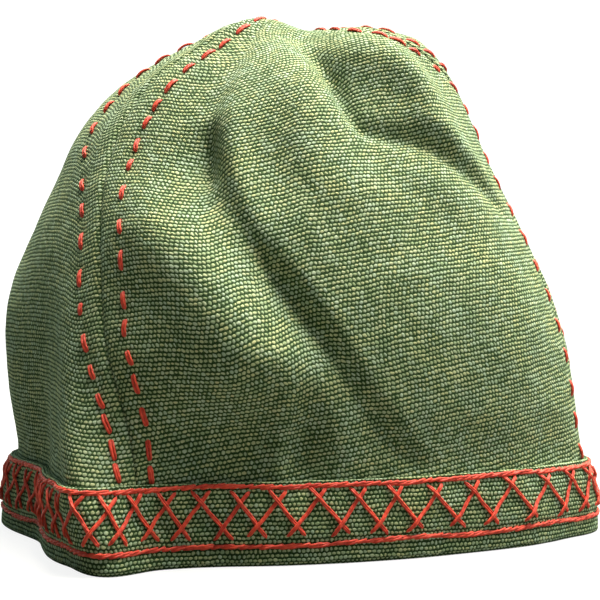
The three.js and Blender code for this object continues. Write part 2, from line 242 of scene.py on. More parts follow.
def fold_dabs(width, *points):
    """A fold as a row of soft round dabs along its path: places and strengths."""
    spots = 60
    closeness = 0.45
    order = np.arange(len(points), dtype=float)
    turn, up, height = curve_through(order, np.array(points, float).T[:, None, :].repeat(spots, 1),
                                     np.linspace(0, order[-1], spots)[None].repeat(3, 0))
    path = smooth_point(turn, up)
    length = lengths_along(path)
    count = math.ceil(length[-1] / (width * closeness)) + 1
    step = length[-1] / count
    at = (np.arange(count) + 0.5) * step
    places = np.stack([np.interp(at, length, path[:, axis]) for axis in range(3)], axis=1)
    return places, np.interp(at, length, height) * step / (width * math.sqrt(math.pi))


DABS = [(width, *fold_dabs(width, *points)) for width, *points in (FOLDS | FINE_CREASES).values()]


def fold_height(points):
    """How far the folds raise the cloth at these points of the smooth crown."""
    total = np.zeros(points.shape[:-1])
    for width, places, strengths in DABS:
        for place, strength in zip(places, strengths):
            away = ((points - place) ** 2).sum(-1)
            total += strength * np.exp(-away / width ** 2)
    return total


def waver(points, size, seed):
    """Soft random heights from -1 to 1 with bumps of this size, the same on every run."""
    cells = 32
    lattice = np.random.default_rng(seed).uniform(-1, 1, (cells, cells, cells))
    spot = points / size
    corner = np.floor(spot).astype(int)
    part = spot - corner
    part = part * part * (3 - 2 * part)
    total = np.zeros(points.shape[:-1])
    for step in np.ndindex(2, 2, 2):
        weight = np.prod(np.where(np.array(step) == 1, part, 1 - part), axis=-1)
        i, j, k = np.moveaxis((corner + step) % cells, -1, 0)
        total += weight * lattice[i, j, k]
    return total


def uneven(points, layers):
    """Unevenness in layers, each with its height, the size of its bumps and its seed."""
    return sum(height * waver(points, size, seed) for height, size, seed in layers)


def cloth_point(turn, up, out=0.0):
    """A point of the cloth, this far out of the crown's outer face."""
    turn, up = np.broadcast_arrays(np.asarray(turn, float), np.asarray(up, float))
    base = smooth_point(turn, up)
    height = fold_height(base) + out
    return base + outward(turn, up) * np.asarray(height)[..., None]


def seam_turn(seam, up):
    """Where round the crown a seam runs, this far up."""
    return curve_through(SEAMS["up"], SEAMS[seam], np.asarray(up, float))


def millimetres_per_degree(turn, up):
    """The cloth's length along one degree of turn."""
    return np.linalg.norm(smooth_point(turn + 0.5, up) - smooth_point(turn - 0.5, up), axis=-1)


# The camera
# It stands level with the middle of the cap, close in front of it, as the photographer's did.
LENS = 76.38
SENSOR = 36.0
PICTURE = 600
CAMERA = np.array([1.9, -432.26, 76.0])


def placed(name, data):
    """A new object in the scene."""
    made = bpy.data.objects.new(name, data)
    bpy.context.scene.collection.objects.link(made)
    return made


camera = placed("camera", bpy.data.cameras.new("camera"))
camera.data.lens = LENS
camera.data.sensor_width = SENSOR
camera.location = CAMERA * MM
camera.rotation_euler = (math.radians(90), 0, 0)
camera.data.clip_start = 0.01
camera.data.clip_end = 20
bpy.context.scene.camera = camera


def picture_place(points):
    """Where points, in millimetres, are seen in the photo's own pixels."""
    depth = points[..., 1] - CAMERA[1]
    scale = PICTURE * LENS / SENSOR / depth
    return np.stack([PICTURE / 2 + points[..., 0] * scale - CAMERA[0] * scale,
                     PICTURE / 2 - (points[..., 2] - CAMERA[2]) * scale], axis=-1)


# Lines of running stitches, which shape the cloth beside the seams
# The seam allowances lie open inside, and a line of running stitches on each side of every seam
# holds them down. The thread pulls the cloth in where it passes through.
STITCH_LENGTH = 5.5
SHORTEST_STITCH = 0.75
LONGEST_STITCH = 1.2
STITCH_LEAN = 0.4
STITCH_PITCH = 8.8
PITCH_WANDER = 0.12
STITCH_POINTS = 10
# How far each line runs from its seam. The leftmost line that is seen wanders out near the top, and
# the right seam's two lines wander so that one runs along the outline and the other stays behind it.
STITCH_LINE = table("up usual leftmost rightmost behind", [
    [0.12, 4.2, 4.2, 6.0, 4.2],
    [0.18, 5.2, 5.2, 7.4, 5.2],
    [0.25, 6.0, 6.0, 7.0, 7.5],
    [0.33, 7.6, 7.6, 4.6, 10.5],
    [0.42, 9.2, 9.2, 2.2, 13.0],
    [0.50, 9.5, 9.6, 2.2, 12.5],
    [0.55, 9.9, 10.6, 3.6, 11.5],
    [0.60, 10.6, 13.5, 4.4, 11.0],
    [0.64, 11.2, 15.5, 3.2, 10.5],
    [0.72, 11.2, 17.0, 2.0, 11.0],
    [0.78, 10.0, 16.0, 4.5, 12.0],
    [0.84, 8.0, 13.5, 8.0, 9.0],
    [0.96, 5.0, 5.0, 5.0, 5.0],
])
STITCH_COLUMNS = {
    ("frontLeft", -1): "leftmost",
    ("frontRight", -1): "rightmost",
    ("frontRight", 1): "behind",
}
# Rows of the picture in which the stitches of the lines that show are seen, from the band up
SEEN_STITCH_ROWS = {
    ("frontLeft", -1): [473, 450, 424, 401, 372, 343, 309, 278, 241, 210, 185, 152, 128, 106, 89, 73, 60],
    ("frontLeft", 1): [475, 450, 417, 384, 358, 328, 300, 260, 226, 192, 165, 145, 122, 105, 86, 68, 54, 43],
    ("frontRight", -1): [452, 420, 388, 355, 325, 295, 266, 238, 210, 183, 158, 133, 110, 88, 69, 52, 41, 34],
}
LAST_STITCH = 0.955


def stitch_line_turn(seam, side, up):
    """Where round the crown the line of stitches on one side of a seam runs."""
    aside = curve_through(STITCH_LINE["up"], STITCH_LINE[STITCH_COLUMNS.get((seam, side), "usual")], up)
    middle = seam_turn(seam, up)
    return middle + side * aside / millimetres_per_degree(middle, up)


def stitch_ups(seam, side):
    """How far up the cap each stitch of a line has its middle."""
    samples = 900
    up = np.linspace(BAND_TOP, LAST_STITCH, samples)
    line = cloth_point(stitch_line_turn(seam, side, up), up)
    length = lengths_along(line)
    rows = SEEN_STITCH_ROWS.get((seam, side))
    if rows:
        height = picture_place(line)[:, 1]
        highest = int(height.argmin())
        seen = np.interp(rows, height[highest::-1], up[highest::-1])
        next_stitch = np.interp(seen[-1], up, length) + STITCH_PITCH
        return np.append(seen, np.interp(np.arange(next_stitch, length[-1], STITCH_PITCH), length, up))
    count = int(length[-1] / STITCH_PITCH)
    first = 0.6
    at = (np.arange(count) + first + hand.uniform(-PITCH_WANDER, PITCH_WANDER, count)) * length[-1] / count
    return np.interp(at, length, up)


def stitches_beside(seam, side):
    """Turn and up at even steps along each stitch of a line, from one end of it to the other."""
    middle = stitch_ups(seam, side)
    near = 0.01
    ends = middle[:, None] + np.array([-near, near])
    ends = smooth_point(stitch_line_turn(seam, side, ends), ends)
    rise = np.linalg.norm(ends[:, 1] - ends[:, 0], axis=-1) / (2 * near)
    half = STITCH_LENGTH / rise * hand.uniform(SHORTEST_STITCH, LONGEST_STITCH, len(middle)) / 2
    lean = hand.uniform(-STITCH_LEAN, STITCH_LEAN, len(middle))
    share = np.linspace(-1, 1, STITCH_POINTS)
    up = middle[:, None] + half[:, None] * share
    turn = stitch_line_turn(seam, side, up)
    return turn + lean[:, None] * share / millimetres_per_degree(turn, up), up


hand = np.random.default_rng(7)
stitches = [stitches_beside(seam, side) for seam in SEAMS if seam != "up" for side in (-1, 1)]
STITCH_TURN, STITCH_UP = (np.concatenate(values) for values in zip(*stitches))
PULL_DEPTH = 0.36
PULL_WIDTH = 1.9
PULLS = cloth_point(STITCH_TURN[:, [0, -1]], STITCH_UP[:, [0, -1]]).reshape(-1, 3)


def pulled_in(points):
    """How far the running stitches' thread pulls the cloth in."""
    total = np.zeros(points.shape[:-1])
    for place in PULLS:
        away = ((points - place) ** 2).sum(-1)
        total += np.exp(-away / PULL_WIDTH ** 2)
    return PULL_DEPTH * total


# Crown panels: the cloth itself
# Each panel is cut with its grain down its middle, so the weave runs off at a slant beside the
# seams, and each seam is a narrow furrow on a slightly thicker strip.
PANEL_THICKNESS = 1.8
CLOTH_STEP = 1.15
PANEL_ROWS = 176
EDGE_GAP = 0.06
FURROW_DEPTH = 0.9
FURROW_WIDTH = 1.1
ALLOWANCE_WIDTH = 10.0
ALLOWANCE_HEIGHT = 0.35
ALLOWANCE_EDGE = 1.2
CLOTH_UNEVENNESS = [(0.30, 14, 1), (0.16, 6, 2), (0.06, 2.6, 3)]
# How far above the band the relief sets in, and how much of it shows inside
RELIEF_START = 0.02
RELIEF_INSIDE = 0.3
# Each panel's seams, and how many degrees its weft rises, because no panel is cut quite straight
PANELS = {
    "front": ("frontLeft", "frontRight", 8.5),
    "right": ("frontRight", "backRight", 3.0),
    "back": ("backRight", "backLeft", -4.0),
    "left": ("backLeft", "frontLeft", -2.0),
}


def seam_relief(away):
    """The cloth's height beside a seam, by the distance from it."""
    furrow = -FURROW_DEPTH * np.exp(-(away / FURROW_WIDTH) ** 2)
    return furrow + ALLOWANCE_HEIGHT / (1 + np.exp((away - ALLOWANCE_WIDTH) / ALLOWANCE_EDGE))


def hand_made(points):
    """The small unevenness that soft cloth has everywhere."""
    return uneven(points, CLOTH_UNEVENNESS)


def panel_grid(start_seam, end_seam):
    """Turn, up, distance from the nearer seam and from the middle, for one panel's rows and columns."""
    spots = 120
    ups = np.linspace(PANEL_FOOT / HEIGHT_PER_UP, TIP, PANEL_ROWS + 1)
    start = seam_turn(start_seam, ups)
    end = seam_turn(end_seam, ups)
    end = np.where(end < start, end + 360, end)
    share = np.linspace(0, 1, spots)
    turns = start[:, None] + (end - start)[:, None] * share
    rows = cloth_point(turns, ups[:, None])
    lengths = np.cumsum(np.linalg.norm(np.diff(rows, axis=1), axis=2), axis=1)
    lengths = np.concatenate([np.zeros((len(ups), 1)), lengths], axis=1)
    width = lengths[:, -1]
    columns = int(width.max() / CLOTH_STEP)
    at = EDGE_GAP + (width - 2 * EDGE_GAP)[:, None] * np.linspace(0, 1, columns + 1)
    turn = np.stack([np.interp(a, length, t) for a, length, t in zip(at, lengths, turns)])
    along = at - width[:, None] / 2
    return turn, np.broadcast_to(ups[:, None], turn.shape), np.minimum(at, width[:, None] - at), along


def row_rise(rows):
    """How far up the cloth each point lies, square to the rows, so that threads keep their spacing."""
    across = unit(np.gradient(rows, axis=1))
    step = np.diff(rows, axis=0)
    across = (across[1:] + across[:-1]) / 2
    square = step - across * (step * across).sum(-1, keepdims=True)
    rise = np.cumsum(np.linalg.norm(square, axis=-1), axis=0)
    return np.concatenate([np.zeros((1, rows.shape[1])), rise])


def grid_faces(rows, columns, first=0, turned_over=False, ring=False):
    """The four-sided faces of a grid of points that are numbered row by row."""
    i, j = np.meshgrid(np.arange(rows - 1), np.arange(columns if ring else columns - 1), indexing="ij")
    following = (j + 1) % columns
    corners = [i * columns + j, i * columns + following,
               (i + 1) * columns + following, (i + 1) * columns + j]
    if turned_over:
        corners = corners[::-1]
    return np.stack(corners, axis=-1).reshape(-1, 4) + first


def cloth_mesh(name, points, faces, weave):
    """A mesh from points in millimetres, with the place of each corner in the weave as its UV map."""
    mesh = bpy.data.meshes.new(name)
    mesh.vertices.add(len(points))
    mesh.vertices.foreach_set("co", (points * MM).astype(np.float32).ravel())
    mesh.loops.add(len(faces) * 4)
    mesh.loops.foreach_set("vertex_index", faces.astype(np.int32).ravel())
    mesh.polygons.add(len(faces))
    mesh.polygons.foreach_set("loop_start", np.arange(0, len(faces) * 4, 4, dtype=np.int32))
    mesh.polygons.foreach_set("use_smooth", np.ones(len(faces), bool))
    mesh.update(calc_edges=True)
    layer = mesh.uv_layers.new(name="weave")
    layer.uv.foreach_set("vector", weave.astype(np.float32).ravel())
    mesh.validate()
    return placed(name, mesh)


def panel_mesh(name, start_seam, end_seam, grain):
    """One panel as a closed wall, with its flat size and area. Its weft rises at the grain's angle."""
    turn, up, away, along = panel_grid(start_seam, end_seam)
    cloth = cloth_point(turn, up)
    shown = np.clip((up - BAND_TOP) / RELIEF_START, 0, 1)
    relief = (seam_relief(away) + hand_made(cloth) - pulled_in(cloth)) * shown
    out = outward(turn, up)
    face = cloth + out * relief[..., None]
    lining = cloth - out * (PANEL_THICKNESS - RELIEF_INSIDE * np.clip(relief, -1, 1))[..., None]
    rows, columns = turn.shape
    rise = row_rise(cloth)
    slant = math.radians(grain)
    weave = np.stack([along * math.cos(slant) + rise * math.sin(slant),
                      rise * math.cos(slant) - along * math.sin(slant)], axis=-1).reshape(-1, 2)
    faces = [grid_faces(rows, columns), grid_faces(rows, columns, rows * columns, turned_over=True)]
    number = np.arange(rows * columns).reshape(rows, columns)
    for edge in (number[0], number[:, -1], number[-1, ::-1], number[::-1, 0]):
        inner = edge + rows * columns
        faces.append(np.stack([inner[:-1], inner[1:], edge[1:], edge[:-1]], axis=-1))
    faces = np.concatenate(faces)
    points = np.concatenate([face.reshape(-1, 3), lining.reshape(-1, 3)])
    weave = np.concatenate([weave, weave])
    flat = (np.ptp(along) * MM, np.ptp(rise) * MM)
    strips = np.diff(rise, axis=0)[:, :-1] * np.diff(along, axis=1)[:-1]
    return cloth_mesh(name, points, faces, weave[faces.ravel()]), flat, strips.sum() * MM * MM


def feed(tree, socket, value):
    """Gives a socket another node's output, or a plain value."""
    if isinstance(value, bpy.types.NodeSocket):
        tree.links.new(value, socket)
    else:
        socket.default_value = value


def set_inputs(node, **values):
    """Sets a node's inputs to plain values, by their names with an underscore for each space."""
    for label, value in values.items():
        node.inputs[label.replace("_", " ")].default_value = value


def new_surface(name):
    """A new material, its nodes and its surface."""
    material = bpy.data.materials.new(name)
    material.use_nodes = True
    return material, material.node_tree, material.node_tree.nodes["Principled BSDF"]


def bumped(tree, surface, height, **values):
    """Gives a surface small relief."""
    bump = tree.nodes.new("ShaderNodeBump")
    set_inputs(bump, **values)
    feed(tree, bump.inputs["Height"], height)
    feed(tree, surface.inputs["Normal"], bump.outputs[0])


def calc(tree, operation, *values, clamp=False):
    """The output of a Math node."""
    made = tree.nodes.new("ShaderNodeMath")
    made.operation = operation
    made.use_clamp = clamp
    for socket, value in zip(made.inputs, values):
        feed(tree, socket, value)
    return made.outputs[0]


def vector_calc(tree, operation, *values):
    """The output of a Vector Math node."""
    made = tree.nodes.new("ShaderNodeVectorMath")
    made.operation = operation
    for socket, value in zip(made.inputs, values):
        feed(tree, socket, value)
    return made.outputs[0]


def joined(tree, x, y, z=0.0):
    """A vector from its parts."""
    made = tree.nodes.new("ShaderNodeCombineXYZ")
    for socket, value in zip(made.inputs, (x, y, z)):
        feed(tree, socket, value)
    return made.outputs[0]


def blended(tree, share, first, second):
    """A colour between two others."""
    made = tree.nodes.new("ShaderNodeMix")
    made.data_type = "RGBA"
    feed(tree, made.inputs[0], share)
    feed(tree, made.inputs[6], first)
    feed(tree, made.inputs[7], second)
    return made.outputs[2]


def noise(tree, vector, scale, detail=2.0, output=0):
    """Smooth noise as a value, or with output 1 as a colour."""
    made = tree.nodes.new("ShaderNodeTexNoise")
    feed(tree, made.inputs["Vector"], vector)
    set_inputs(made, Scale=scale, Detail=detail)
    return made.outputs[output]


def speckle(tree, vector):
    """A random number for each whole cell."""
    made = tree.nodes.new("ShaderNodeTexWhiteNoise")
    feed(tree, made.inputs["Vector"], vector)
    return made.outputs[0]


def ramp(tree, value, low, high, smooth=True):
    """0 up to low, 1 from high on, also with high below low."""
    made = tree.nodes.new("ShaderNodeMapRange")
    made.interpolation_type = "SMOOTHSTEP" if smooth else "LINEAR"
    feed(tree, made.inputs["Value"], value)
    made.inputs["From Min"].default_value = low
    made.inputs["From Max"].default_value = high
    return made.outputs[0]


def thread_bead(tree, across, along, width, length):
    """How far a spot of a thread's float is from its middle, 1 at its outline."""
    x = calc(tree, "DIVIDE", across, width)
    y = calc(tree, "DIVIDE", along, length)
    return calc(tree, "SQRT", calc(tree, "ADD", calc(tree, "MULTIPLY", x, x), calc(tree, "MULTIPLY", y, y)))


def weighted(tree, *parts):
    """The sum of some values, each times its weight."""
    total = 0.0
    for value, weight in parts:
        total = calc(tree, "MULTIPLY_ADD", value, weight, total)
    return total


def wander(tree, place, scale, detail, far):
    """A smooth random step of about this many millimetres at most, from place to place."""
    step = vector_calc(tree, "SUBTRACT", noise(tree, place, scale, detail, 1), (0.5, 0.5, 0.5))
    return vector_calc(tree, "MULTIPLY", step, (far, far, 0.0))


# From float to float along a row, and from row to row
BEAD_STEP = 1.37
ROW_STEP = 1.31
# Half sizes of the pale floats, as shares of these steps: the least, and what chance adds to it
BEAD_WIDTH = (0.24, 0.24)
BEAD_LENGTH = (0.30, 0.14)
# Half sizes of the dark floats
GAP_WIDTH = 0.22
GAP_LENGTH = 0.50
# Scale, detail and reach of the threads' wandering, first in long waves, then from thread to thread
WAVES = (0.13, 3.0, 1.3)
SHORT_WAVES = (0.9, 1.0, 0.55)
WEAVE_RELIEF = 0.00036


def plain_weave(name, light, dark, tints):
    """Coarse plain weave: pale floats like beads in staggered rows, dark floats between them, and painted
    shade in the hollows between floats.
    """
    material, tree, surface = new_surface(name)
    grid = tree.nodes.new("ShaderNodeUVMap")
    grid.uv_map = "weave"
    place = grid.outputs[0]
    spot = vector_calc(tree, "ADD", place, wander(tree, place, *WAVES))
    spot = vector_calc(tree, "ADD", spot, wander(tree, place, *SHORT_WAVES))
    parts = tree.nodes.new("ShaderNodeSeparateXYZ")
    feed(tree, parts.inputs[0], spot)
    x, y = parts.outputs[0], parts.outputs[1]
    row = calc(tree, "DIVIDE", y, ROW_STEP)
    row_number = calc(tree, "FLOOR", row)
    shift = calc(tree, "MULTIPLY", calc(tree, "FLOORED_MODULO", row_number, 2.0), 0.5)
    column = calc(tree, "ADD", calc(tree, "DIVIDE", x, BEAD_STEP), shift)
    column_number = calc(tree, "FLOOR", column)
    along = calc(tree, "SUBTRACT", calc(tree, "FRACT", row), 0.5)
    across = calc(tree, "SUBTRACT", calc(tree, "FRACT", column), 0.5)
    between = calc(tree, "SUBTRACT", calc(tree, "ABSOLUTE", across), 0.5)

    width_chance = speckle(tree, joined(tree, column_number, row_number, 3.0))
    length_chance = speckle(tree, joined(tree, column_number, row_number, 5.0))
    bead_width = weighted(tree, (1.0, BEAD_WIDTH[0]), (calc(tree, "SQRT", width_chance), BEAD_WIDTH[1]))
    bead_length = weighted(tree, (1.0, BEAD_LENGTH[0]), (length_chance, BEAD_LENGTH[1]))
    bead = thread_bead(tree, across, along, bead_width, bead_length)
    gap = thread_bead(tree, between, along, GAP_WIDTH, GAP_LENGTH)
    shown = ramp(tree, bead, 1.15, 0.70)
    dome = calc(tree, "SUBTRACT", 1.0, calc(tree, "MULTIPLY", bead, bead), clamp=True)
    # The dark floats' dome sets their relief and is also the mask of the painted shade in the weave's
    # hollows.
    gap_dome_and_painted_shade = calc(tree, "SUBTRACT", 1.0, calc(tree, "MULTIPLY", gap, gap), clamp=True)

    yarn = weighted(tree, (column_number, 2.0), (shift, -2.0))
    warp_slub = noise(tree, joined(tree, calc(tree, "MULTIPLY", yarn, 7.3),
                                   calc(tree, "MULTIPLY", y, 0.09)), 1.0)
    weft_slub = noise(tree, joined(tree, calc(tree, "MULTIPLY", x, 0.07),
                                   calc(tree, "MULTIPLY", row_number, 5.7), 60.0), 1.0)
    cell = speckle(tree, joined(tree, column_number, row_number, 9.0))
    patch = noise(tree, place, 0.055, 3.0)
    small_patch = noise(tree, joined(tree, x, y, 40.0), 0.28)
    tone = weighted(tree, (cell, 0.45), (warp_slub, 0.75), (weft_slub, 0.45), (small_patch, 0.75))
    tone = ramp(tree, tone, 0.72, 1.70, smooth=False)
    hue = ramp(tree, weighted(tree, (patch, 0.65), (cell, 0.20), (weft_slub, 0.35)), 0.40, 0.80)
    cool = ramp(tree, weighted(tree, (noise(tree, joined(tree, x, y, 90.0), 0.11), 0.7),
                               (length_chance, 0.25)), 0.40, 0.62)
    pale = blended(tree, tone, light[0], light[1])
    pale = blended(tree, calc(tree, "MULTIPLY", hue, 0.60), pale, tints[0])
    pale = blended(tree, calc(tree, "MULTIPLY", cool, 0.55), pale, tints[1])
    dull = calc(tree, "SUBTRACT", 1.0, calc(tree, "MULTIPLY", tone, 1.6), clamp=True)
    pale = blended(tree, dull, pale, light[0])
    # Painted shade: the dark floats are coloured darker towards their outline and darkest in the hollows
    # between floats, where the relief would shade them; their middles vary with the random tone.
    gap_colour_with_painted_shade = blended(tree, calc(tree, "MULTIPLY", gap_dome_and_painted_shade, tone), dark[0], dark[1])
    feed(tree, surface.inputs["Base Color"], blended(tree, shown, gap_colour_with_painted_shade, pale))

    fibre = noise(tree, joined(tree, calc(tree, "MULTIPLY", x, 9.0),
                               calc(tree, "MULTIPLY", y, 3.0)), 1.0, 1.0)
    height = weighted(tree, (calc(tree, "SQRT", dome), 0.8), (gap_dome_and_painted_shade, 0.30), (fibre, 0.22))
    bumped(tree, surface, height, Distance=WEAVE_RELIEF, Strength=0.8)
    feed(tree, surface.inputs["Roughness"], weighted(tree, (shown, -0.20), (1.0, 0.96)))
    set_inputs(surface, Specular_IOR_Level=0.18, Sheen_Weight=0.12, Sheen_Roughness=0.5,
               Sheen_Tint=(0.75, 0.95, 0.60, 1))
    return material


# The first dark colour is also the painted shade in the hollows between the floats.
crown_cloth = plain_weave(
    "crown_weave",
    light=[(0.290, 0.390, 0.190, 1), (0.570, 0.650, 0.420, 1)],
    dark=[(0.020, 0.050, 0.014, 1), (0.150, 0.240, 0.085, 1)],
    tints=[(0.620, 0.610, 0.240, 1), (0.400, 0.560, 0.460, 1)])

for side, (start_seam, end_seam, grain) in PANELS.items():
    panel, flat, area = panel_mesh(side + "_panel_cloth", start_seam, end_seam, grain)
    panel.data.materials.append(crown_cloth)
    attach(panel, "root")
    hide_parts("crown_panel_" + side)

# Brow band
# A strip of the same cloth folded double lengthwise round the panels' lower edges. Its fold is the
# rim that the cap stands on, and its ends meet at the back, where its weave starts anew.
BAND_THICKNESS = 2.4
SEWING_GAP = 0.3
LEAF_GAP = 0.15
BAND_COLUMNS = 500
UPPER_LINE = 22.6
LOWER_LINE = 6.0
LINE_SINK = 0.45
LINE_WIDTH = 1.3
LINE_WANDER = [(0.45, 17, 11), (0.25, 6, 12)]
BAND_SWELL = [(0.16, 5, 13), (0.22, 15, 14)]
BAND_ENDS_TURN = 162.0
# How far up the band's length is measured
BAND_MEASURE_UP = 0.04

band_turns = np.linspace(BAND_ENDS_TURN - 360, BAND_ENDS_TURN, 1441)
band_ring = cloth_point(band_turns, BAND_MEASURE_UP, SEWING_GAP + BAND_THICKNESS)
band_lengths = lengths_along(band_ring)
BAND_ROUND = band_lengths[-1]


def band_turn(along):
    """The turn at this length of cloth along the band, from its ends."""
    return np.interp(along % BAND_ROUND, band_lengths, band_turns)


def line_height(along, height):
    """A hand-sewn line wanders a little up and down, each line in its own way."""
    apart = 31.0
    spot = np.stack([along, np.full(np.shape(along), height * apart), np.zeros(np.shape(along))], axis=-1)
    return height + uneven(spot, LINE_WANDER)


def band_relief(along, height):
    """The outer leaf swells a little between the lines of stitches that hold it."""
    upper = height - line_height(along, UPPER_LINE)
    lower = height - line_height(along, LOWER_LINE)
    sink = -LINE_SINK * (np.exp(-(upper / LINE_WIDTH) ** 2) + np.exp(-(lower / LINE_WIDTH) ** 2))
    spot = np.stack([along, height, np.zeros(np.shape(along))], axis=-1)
    return sink + uneven(spot, BAND_SWELL)


def band_profile():
    """The section of the folded strip: how far out and how high."""
    round_steps = 7
    height_step = 1.2
    half = BAND_THICKNESS / 2
    middle = SEWING_GAP + half
    leaf = half - LEAF_GAP / 2
    edge = leaf / 2
    heights = np.arange(half, BAND_HEIGHT - edge, height_step)
    turn = np.linspace(0, math.pi, round_steps + 2)[1:-1]

    def rounded_top(out):
        return [(out + edge * math.cos(a), BAND_HEIGHT - edge + edge * math.sin(a)) for a in turn]

    outer = [(SEWING_GAP + BAND_THICKNESS, z) for z in heights]
    slit_down = [(middle + LEAF_GAP / 2, z) for z in heights[::-3]]
    slit_up = [(middle - LEAF_GAP / 2, z) for z in heights[::3]]
    inner = [(SEWING_GAP, z) for z in heights[::-1]]
    fold = [(middle - half * math.cos(a), half - half * math.sin(a)) for a in turn]
    return np.array(outer + rounded_top(middle + LEAF_GAP / 2 + edge) + slit_down + slit_up
                    + rounded_top(middle - LEAF_GAP / 2 - edge) + inner + fold)


def band_point(along, out, height, relief=1.0):
    """A point of the band, this far out of the crown and this high."""
    along, height = np.broadcast_arrays(np.asarray(along, float), np.asarray(height, float))
    swell = band_relief(along, height) * relief
    return cloth_point(band_turn(along), height / HEIGHT_PER_UP, out + swell)


profile = band_profile()
along = np.arange(BAND_COLUMNS) / BAND_COLUMNS * BAND_ROUND
grid_along, grid_out = np.meshgrid(along, profile[:, 0])
grid_height = np.broadcast_to(profile[:, 1:], grid_out.shape)
outer_share = np.clip((grid_out - SEWING_GAP - BAND_THICKNESS / 2) / (BAND_THICKNESS / 2), 0, 1)
points = band_point(grid_along, grid_out, grid_height, outer_share).reshape(-1, 3)
faces = grid_faces(len(profile) + 1, BAND_COLUMNS, ring=True) % len(points)
strip_place = lengths_along(np.append(profile, profile[:1], axis=0))
i, j = np.meshgrid(np.arange(len(profile)), np.arange(BAND_COLUMNS), indexing="ij")
step = BAND_ROUND / BAND_COLUMNS
weave = np.stack([
    np.stack([j * step, (j + 1) * step, (j + 1) * step, j * step], axis=-1),
    np.stack([strip_place[i], strip_place[i], strip_place[i + 1], strip_place[i + 1]], axis=-1),
], axis=-1)
band = cloth_mesh("brow_band_cloth", points, faces, weave.reshape(-1, 2))
# The first dark colour is also the painted shade in the hollows between the floats.
band_cloth = plain_weave(
    "band_weave",
    light=[(0.275, 0.385, 0.185, 1), (0.580, 0.680, 0.420, 1)],
    dark=[(0.014, 0.040, 0.010, 1), (0.110, 0.195, 0.060, 1)],
    tints=[(0.590, 0.600, 0.240, 1), (0.370, 0.550, 0.450, 1)])
band.data.materials.append(band_cloth)
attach(band, "root")
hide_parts("brow_band")

# Stem-stitched lines
# Two lines of red-orange thread run round the band, near its top and above its fold. Each short
# slanting stitch starts beside the middle of the one before, so a line looks like a thin rope.
STEM_LENGTH = 5.0
STEM_PITCH = 2.75
STEM_SLANT = 0.42
STEM_TOP = 1.0
STEM_SINK = 0.5
STEM_POINTS = 6


def band_frame(along, height):
    """A point on the band's outer face and the way out of it."""
    face = SEWING_GAP + BAND_THICKNESS
    near = 0.4
    point = band_point(along, face, height)
    across = band_point(along + near, face, height) - band_point(along - near, face, height)
    rise = band_point(along, face, height + near) - band_point(along, face, height - near)
    return point, unit(np.cross(across, rise))


def guide_lines(name, points, outs):
    """A mesh of open lines, with the way out of the cloth at each point and the number of its line."""
    lines, spots = points.shape[:2]
    order = np.arange(lines * spots).reshape(lines, spots)
    edges = np.stack([order[:, :-1], order[:, 1:]], axis=-1).reshape(-1, 2)
    mesh = bpy.data.meshes.new(name)
    mesh.from_pydata((points.reshape(-1, 3) * MM).tolist(), edges.tolist(), [])
    out = mesh.attributes.new("out", "FLOAT_VECTOR", "POINT")
    out.data.foreach_set("vector", outs.astype(np.float32).ravel())
    number = mesh.attributes.new("number", "INT", "POINT")
    number.data.foreach_set("value", np.repeat(np.arange(lines, dtype=np.int32), spots))
    return placed(name, mesh)


